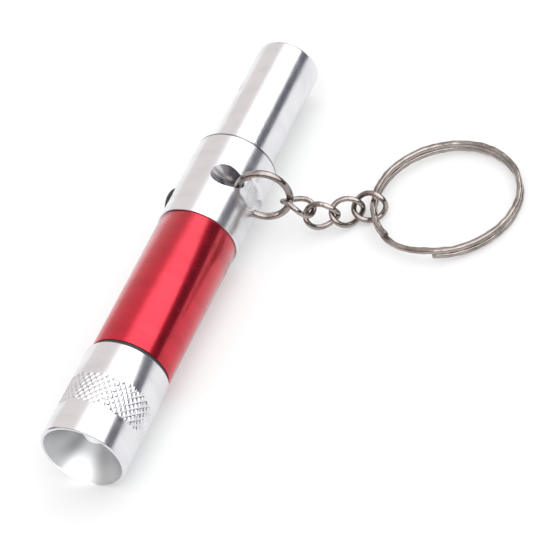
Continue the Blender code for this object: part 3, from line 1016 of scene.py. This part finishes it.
@dataclass
class Chain:
    """The ring in the collar's hole and the four twisted links that hang on it.

    Attributes:
        finish: The materials by name.
        half_length: Half a link's length, to the middle of its wire.
        half_width: Half its width.
        twist: How far each end is turned about the length, in radians.
        link_wire: The radius of a link's wire.
        jump_middle: The ring's middle.
        jump_normal: The way that its plane faces.
        jump_radius: Its radius, to the middle of its wire.
        jump_wire: The radius of its wire.
        hangs: Where each link lies.
    """

    finish: dict[str, bpy.types.Material]
    half_length: float = 2.6
    half_width: float = 2.15
    twist: float = 0.5
    link_wire: float = 0.45
    jump_middle: tuple[float, float, float] = (8.49, 50.94, 8.46)
    jump_normal: tuple[float, float, float] = (0.213, -0.968, 0.130)
    jump_radius: float = 4.34
    jump_wire: float = 0.575
    hangs: tuple[Hang, ...] = (
        Hang((13.55, 51.84, 5.76), (0.778, 0.281, -0.562), (0.478, -0.845, 0.239)),
        Hang((16.92, 52.16, 3.55), (0.906, 0.387, -0.171), (0.086, 0.226, 0.970)),
        Hang((20.34, 54.28, 2.59), (0.756, 0.614, -0.226), (-0.134, 0.483, 0.865)),
        Hang((23.37, 56.18, 2.17), (0.943, 0.333, 0.008), (-0.227, 0.626, 0.746)),
    )

    def wire_tree(self) -> bpy.types.NodeTree:
        """The tree that bends a round wire into a closed oval, twisted about its length."""
        number = "NodeSocketFloat"
        pattern = Pattern("bent_wire", {
            "Half Length": (number, 0.0026), "Half Width": (number, 0.00215),
            "Twist": (number, 0.5), "Wire": (number, 0.00045), "Steps": ("NodeSocketInt", 96),
            "Middle": ("NodeSocketVector", None), "Turn": ("NodeSocketVector", None),
            "Joint Depth": (number, 0.00004), "Joint Angle": (number, 1.4),
            "Finish": ("NodeSocketMaterial", None)})
        bench = pattern.bench
        circle = bench.flow("GeometryNodeCurvePrimitiveCircle", None,
                            {"Resolution": pattern.given("Steps"), "Radius": 1.0})
        x, y, _ = bench.split(bench.flow("GeometryNodeInputPosition"))
        bend = pattern.given("Twist") * x
        wide = y * pattern.given("Half Width")
        oval = bench.join(x * pattern.given("Half Length"), wide * bend.maths("COSINE"),
                          wide * bend.maths("SINE"))
        path = bench.flow("GeometryNodeSetPosition", None, {"Geometry": circle, "Position": oval})
        gap = (y.maths("ARCTAN2", x) - pattern.given("Joint Angle")).maths("ABSOLUTE")
        pinch = 1.0 - gap.step(0.12, 0.0) * pattern.given("Joint Depth") / pattern.given("Wire")
        profile = bench.flow("GeometryNodeCurvePrimitiveCircle", None,
                             {"Resolution": 20, "Radius": pattern.given("Wire")})
        tube = bench.flow("GeometryNodeCurveToMesh", None,
                          {"Curve": path, "Profile Curve": profile, "Scale": pinch})
        moved = bench.flow("GeometryNodeTransform", None,
                           {"Geometry": tube, "Translation": pattern.given("Middle"),
                            "Rotation": pattern.given("Turn")})
        return pattern.close(moved)

    def bent(self, name: str, tree: bpy.types.NodeTree, middle: tuple, turn: Matrix,
             sizes: dict[str, Any]) -> bpy.types.Object:
        """Bend one ring or link.

        Args:
            name: The piece's name.
            tree: The wire's tree.
            middle: Its middle in millimetres.
            turn: Its length's, width's and normal's ways as columns.
            sizes: What differs from the tree's usual sizes.

        Returns:
            The piece.
        """
        piece = Workshop.piece(name, bpy.data.meshes.new(name), None)
        values = {"Middle": tuple(Vector(middle) * MM), "Turn": tuple(turn.to_euler()),
                  "Finish": self.finish["nickel_wire"], **sizes}
        return Workshop.grown(piece, tree, values)

    def build(self) -> None:
        """Make the ring and the links and put them on their bodies."""
        tree = self.wire_tree()
        normal = Vector(self.jump_normal).normalized()
        out = (Vector((1, 0, 0)) - normal * normal.x).normalized()
        turn = Matrix((out, normal.cross(out), normal)).transposed()
        ring = self.bent("hole_ring", tree, self.jump_middle, turn, {
            "Half Length": self.jump_radius * MM, "Half Width": self.jump_radius * MM,
            "Twist": 0.0, "Wire": self.jump_wire * MM, "Steps": 160, "Joint Angle": -0.5,
            "Joint Depth": 0.00006})
        Workshop.fit(ring, "jump_ring", "nickel", "jump_ring")
        for index, hang in enumerate(self.hangs, 1):
            length_way = Vector(hang.length_way).normalized()
            width_way = Vector(hang.width_way)
            width_way = (width_way - length_way * width_way.dot(length_way)).normalized()
            turn = Matrix((length_way, width_way, length_way.cross(width_way))).transposed()
            link = self.bent(f"curb_link_{index}", tree, hang.middle, turn, {
                "Half Length": self.half_length * MM, "Half Width": self.half_width * MM,
                "Twist": self.twist, "Wire": self.link_wire * MM})
            Workshop.fit(link, f"link_{index}", "nickel", f"chain_link_{index}")


@dataclass
class KeyRing:
    """The split ring: flat hammered wire wound nearly twice round.

    Attributes:
        finish: The materials by name.
        middle: Its middle on the floor.
        radius: Its radius, to the middle of its wire.
        width: The wire's width.
        height: The wire's height.
        corner: The radius of the wire's edges.
        layer: The distance between its two layers.
        tilt: How far it leans, because the chain holds one side up.
        lifted_side: The way towards that side.
        upper_end: Where round the ring the upper layer starts.
        lower_end: Where the lower layer ends.
        sections: How many outlines the wire has along its length.
        wave_depth: The depth of its hammered waves.
        wave_scale: How close together they are, in waves to a metre.
    """

    finish: dict[str, bpy.types.Material]
    middle: tuple[float, float] = (35.23, 59.95)
    radius: float = 11.75
    width: float = 0.96
    height: float = 0.92
    corner: float = 0.36
    layer: float = 0.98
    tilt: float = math.radians(2.75)
    lifted_side: tuple[float, float, float] = (-0.93, -0.37, 0.0)
    upper_end: float = math.radians(-125)
    lower_end: float = math.radians(-81)
    sections: int = 420
    wave_depth: float = 0.16
    wave_scale: float = 640.0

    def section(self, steps: int = 4) -> list[tuple[float, float]]:
        """The wire's outline: a rectangle with rounded corners."""
        corner = self.corner
        inner_x, inner_z = self.width / 2 - corner, self.height / 2 - corner
        points = []
        for quarter, (sign_x, sign_z) in enumerate(((1, 1), (-1, 1), (-1, -1), (1, -1))):
            for index in range(steps + 1):
                angle = math.pi / 2 * (quarter + index / steps)
                points.append((sign_x * inner_x + corner * math.cos(angle),
                               sign_z * inner_z + corner * math.sin(angle)))
        return points

    def coil(self) -> bpy.types.Mesh:
        """The wire's smooth mesh, before it is hammered."""
        overlap = 2 * math.pi - (self.lower_end - self.upper_end)
        step_down = self.lower_end - self.upper_end
        total = 2 * overlap + step_down
        raised = Vector(self.lifted_side).normalized()
        tilt = Matrix.Rotation(self.tilt, 3, raised.cross(Vector((0, 0, 1))))
        lean = (self.radius + self.width / 2) * math.sin(self.tilt)
        rest = Vector((*self.middle, self.layer / 2 + self.height / 2 + lean))
        outline = self.section()
        work = bmesh.new()
        loops = []
        for index in range(self.sections):
            gone = total * index / (self.sections - 1)
            share = min(max((gone - overlap) / step_down, 0), 1)
            layer = self.layer * (0.5 - share * share * (3 - 2 * share))
            angle = self.upper_end - gone
            out = Vector((math.cos(angle), math.sin(angle), 0))
            loops.append([work.verts.new((rest + tilt @ (out * (self.radius + x)
                                                         + Vector((0, 0, layer + z)))) * MM)
                          for x, z in outline])
        for first, second in zip(loops, loops[1:]):
            for index in range(len(outline)):
                after = (index + 1) % len(outline)
                work.faces.new((first[index], first[after], second[after], second[index]))
        work.faces.new(loops[0])
        work.faces.new(loops[-1])
        bmesh.ops.recalc_face_normals(work, faces=work.faces)
        mesh = bpy.data.meshes.new("coil")
        work.to_mesh(mesh)
        work.free()
        return mesh

    def hammer_tree(self) -> bpy.types.NodeTree:
        """The tree that gives a smooth wire its shallow hammered waves."""
        number = "NodeSocketFloat"
        pattern = Pattern("hammered_waves", {
            "Depth": (number, 0.00006), "Waves": (number, 380.0),
            "Finish": ("NodeSocketMaterial", None)})
        bench = pattern.bench
        place = bench.flow("GeometryNodeInputPosition")
        wave = bench.noise(place, 1.0, 1.0)
        bench.tree.links.new(pattern.given("Waves").socket, wave.socket.node.inputs["Scale"])
        lift = (wave - 0.5) * 2.0 * pattern.given("Depth")
        normal = bench.flow("GeometryNodeInputNormal")
        offset = bench.flow("ShaderNodeVectorMath", {"operation": "SCALE"},
                            {0: normal, "Scale": lift})
        moved = bench.flow("GeometryNodeSetPosition", None,
                           {"Geometry": pattern.given("Geometry"), "Offset": offset})
        return pattern.close(moved)

    def build(self) -> None:
        """Make the ring and put it on its body."""
        piece = Workshop.piece("key_split_ring", self.coil(), self.finish["nickel_wire"], 50)
        Workshop.grown(piece, self.hammer_tree(), {
            "Depth": self.wave_depth * MM, "Waves": self.wave_scale,
            "Finish": self.finish["nickel_wire"]})
        Workshop.fit(piece, "split_ring", "nickel", "split_ring")


@dataclass
class InnerWorks:
    """The CAD nodes inside the torch, which keep their shapes and get finishes.

    Attributes:
        nodes: The CAD nodes by name.
        finish: The materials by name.
    """

    nodes: dict[str, bpy.types.Object]
    finish: dict[str, bpy.types.Material]

    def build(self) -> None:
        """Dress every node that is kept."""
        kinds = {
            "tinned_steel": ("led_lead_positive", "led_lead_negative", "button_cell_1",
                             "button_cell_2", "button_cell_3", "switch_body"),
            "black_moulding": ("led_holder", "switch_carrier", "switch_stem"),
            "green_board": ("lamp_board", "switch_board"),
            "plain_brass": ("positive_contact", "negative_contact", "contact_spring"),
            "card_sleeve": ("cell_sleeve",),
        }
        for kind, names in kinds.items():
            for name in names:
                for slot in self.nodes[name].material_slots:
                    slot.material = self.finish[kind]
                LOG.info("%s dressed in %s", name, kind)


@dataclass
class Studio:
    """The floor, the light and the camera.

    Attributes:
        camera_place: Where the camera is, in millimetres.
        camera_right: The picture's way to the right.
        camera_up: The picture's way up.
        focal_length: The lens, on a sensor 36 mm wide.
        floor_size: The floor's side, in metres.
        floor_glow: The floor's own light, which keeps the shadows faint.
        bright_roof: The tent's colour on the right.
        warm_roof: Its colour on the left.
        dark_gap: The colour of the gap under its edge.
    """

    camera_place: tuple[float, float, float] = (222.3, -221.0, 322.2)
    camera_right: tuple[float, float, float] = (0.8868, 0.369, -0.2783)
    camera_up: tuple[float, float, float] = (-0.0982, 0.7388, 0.6667)
    focal_length: float = 192.4
    floor_size: float = 8.0
    floor_glow: float = 0.4
    bright_roof: tuple[float, float, float] = (2.4, 2.4, 2.4)
    warm_roof: tuple[float, float, float] = (0.90, 0.84, 0.82)
    dark_gap: tuple[float, float, float] = (0.12, 0.12, 0.145)

    def floor(self, level: float) -> None:
        """A plain pale floor at a level, in metres."""
        half = self.floor_size / 2
        mesh = bpy.data.meshes.new("floor")
        mesh.from_pydata([(-half, -half, level), (half, -half, level), (half, half, level),
                          (-half, half, level)], [], [(0, 1, 2, 3)])
        made = bpy.data.objects.new("floor", mesh)
        bpy.context.scene.collection.objects.link(made)
        paint = bpy.data.materials.new("pale_floor")
        paint.use_nodes = True
        shader = paint.node_tree.nodes["Principled BSDF"]
        shader.inputs["Base Color"].default_value = (0.42, 0.425, 0.425, 1)
        shader.inputs["Emission Color"].default_value = (1.0, 1.0, 1.0, 1)
        shader.inputs["Emission Strength"].default_value = self.floor_glow
        shader.inputs["Roughness"].default_value = 0.9
        shader.inputs["Specular IOR Level"].default_value = 0.1
        mesh.materials.append(paint)
        made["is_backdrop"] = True

    def tent(self) -> None:
        """A light tent round the object, with a dark gap low down all round but one side."""
        world = bpy.data.worlds.new("light_tent")
        bpy.context.scene.world = world
        world.use_nodes = True
        bench = Bench(world.node_tree)
        x, y, z = bench.split(bench.flow("ShaderNodeTexCoord", output="Generated"))
        roof = bench.mix(x.step(-0.30, 0.12), self.warm_roof, self.bright_roof)
        open_side = x.step(0.45, 0.25) * y.step(0.2, 0.35) * y.step(0.9, 0.78)
        gap = z.step(-0.05, 0.0) * z.step(0.47, 0.39) * (1.0 - open_side)
        sky = bench.mix(gap, roof, self.dark_gap)
        back = world.node_tree.nodes["Background"]
        world.node_tree.links.new(sky.socket, back.inputs["Color"])
        back.inputs["Strength"].default_value = 1.0

    def lamp(self, name: str, place: Vector, aim: Vector, size: float, power: float) -> None:
        """A square soft light.

        Args:
            name: Its name.
            place: Where it hangs, in metres.
            aim: What it points at.
            size: Its side.
            power: Its power in watts.
        """
        data = bpy.data.lights.new(name, "AREA")
        data.size = size
        data.energy = power
        made = bpy.data.objects.new(name, data)
        made.location = place
        made.rotation_euler = (place - aim).to_track_quat("Z", "Y").to_euler()
        made.visible_glossy = False
        bpy.context.scene.collection.objects.link(made)

    def camera(self) -> None:
        """The camera, looking down along the torch from beyond its lamp."""
        right, up = Vector(self.camera_right).normalized(), Vector(self.camera_up)
        up = (up - right * up.dot(right)).normalized()
        turn = Matrix((right, up, right.cross(up))).transposed().to_4x4()
        data = bpy.data.cameras.new("camera")
        data.lens = self.focal_length
        data.sensor_width = 36.0
        data.clip_start = 0.01
        data.clip_end = 20.0
        made = bpy.data.objects.new("camera", data)
        made.matrix_world = Matrix.Translation(Vector(self.camera_place) * MM) @ turn
        bpy.context.scene.collection.objects.link(made)
        bpy.context.scene.camera = made

    def build(self, level: float) -> None:
        """Set everything round the object, which stands at a level, with plain tones."""
        self.camera()
        self.floor(level)
        self.tent()
        place, aim = Vector((-0.25, 0.1, 0.9)), Vector((0.01, 0.04, 0.0))
        self.lamp("soft_key", place, aim, size=0.8, power=1.5)
        bpy.context.scene.view_settings.view_transform = "Standard"


def box_mm(node: str) -> tuple[Vector, Vector]:
    """A CAD node's lowest and highest corners, in millimetres."""
    low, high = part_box(node)
    return Vector(low) / MM, Vector(high) / MM


def main() -> None:
    """Build every sub-assembly round the frame and report each piece."""
    logging.basicConfig(level=logging.INFO, format="%(message)s")
    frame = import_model()
    cad_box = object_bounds()
    shell_low, shell_high = box_mm("head_shell")
    barrel_low, barrel_high = box_mm("barrel")
    collar_low, collar_high = box_mm("collar")
    tube_low, tube_high = box_mm("whistle_tube")
    axis_height = (barrel_low.z + barrel_high.z) / 2 * MM
    lathe = Lathe(axis_height)
    head_end = shell_high.y - Head.spigot_length
    collar_start = collar_low.y + Collar.spigot_length
    # The last number here is how far the painted shade reaches over the collar's rear bevel.
    bridge_reach, glow_reach, glow_angle, shaded_bevel_width = 6.7, 6.2, math.radians(-122), 0.7
    bridge = Vector((math.cos(Collar.hole_angle), 0, math.sin(Collar.hole_angle))) * bridge_reach
    bridge = bridge * MM + Vector((0, (collar_start + Collar.hole_setback) * MM, axis_height))
    # The painted glow of the lamp's light on the rim is centred here.
    glow = Vector((math.cos(glow_angle), 0, math.sin(glow_angle))) * glow_reach
    glow = glow * MM + Vector((0, shell_low.y * MM, axis_height))
    finish = Finishes(axis_height, tuple(bridge), tuple(glow),
                      (collar_high.y - shaded_bevel_width) * MM).build()
    Studio().build(cad_box[0][2])
    Head(lathe, finish, shell_low.y, head_end, shell_high.x - 0.01).build()
    Barrel(lathe, finish, barrel_low.y, barrel_high.y, barrel_high.x).build()
    Collar(lathe, finish, collar_start, collar_high.y, collar_high.x).build()
    Whistle(lathe, finish, tube_low.y, tube_high.y, tube_high.x).build()
    Chain(finish).build()
    KeyRing(finish).build()
    InnerWorks(frame["nodes"], finish).build()


if __name__ == "__main__":
    main()
